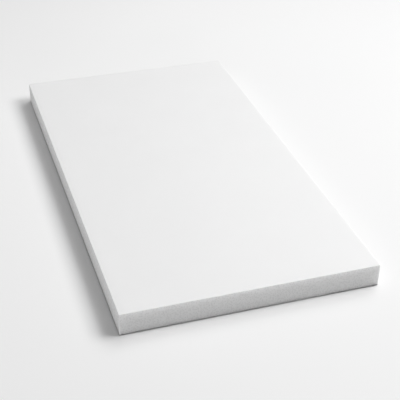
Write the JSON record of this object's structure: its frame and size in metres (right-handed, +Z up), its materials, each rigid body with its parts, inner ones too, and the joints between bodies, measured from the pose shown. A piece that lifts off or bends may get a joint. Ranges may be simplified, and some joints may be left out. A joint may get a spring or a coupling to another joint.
{
  "type": "foam board",
  "caption": "Flat rectangular plank of white polypropylene foam with squared sides and softened edges, used as a pad, base, backing or packing layer.",
  "frame": {"origin": "middle of the underside, on the surface that the board lies on", "axes": "+X along the short side, +Y along the long side, +Z up through the thickness"},
  "size_m": [0.21, 0.4, 0.02],
  "materials": {
    "foam": "matt white fine-celled polypropylene foam, smooth skin on the two large faces and a fine open grain on the cut sides"
  },
  "bodies": {
    "root": {"foam_board": "foam"}
  },
  "joints": []
}
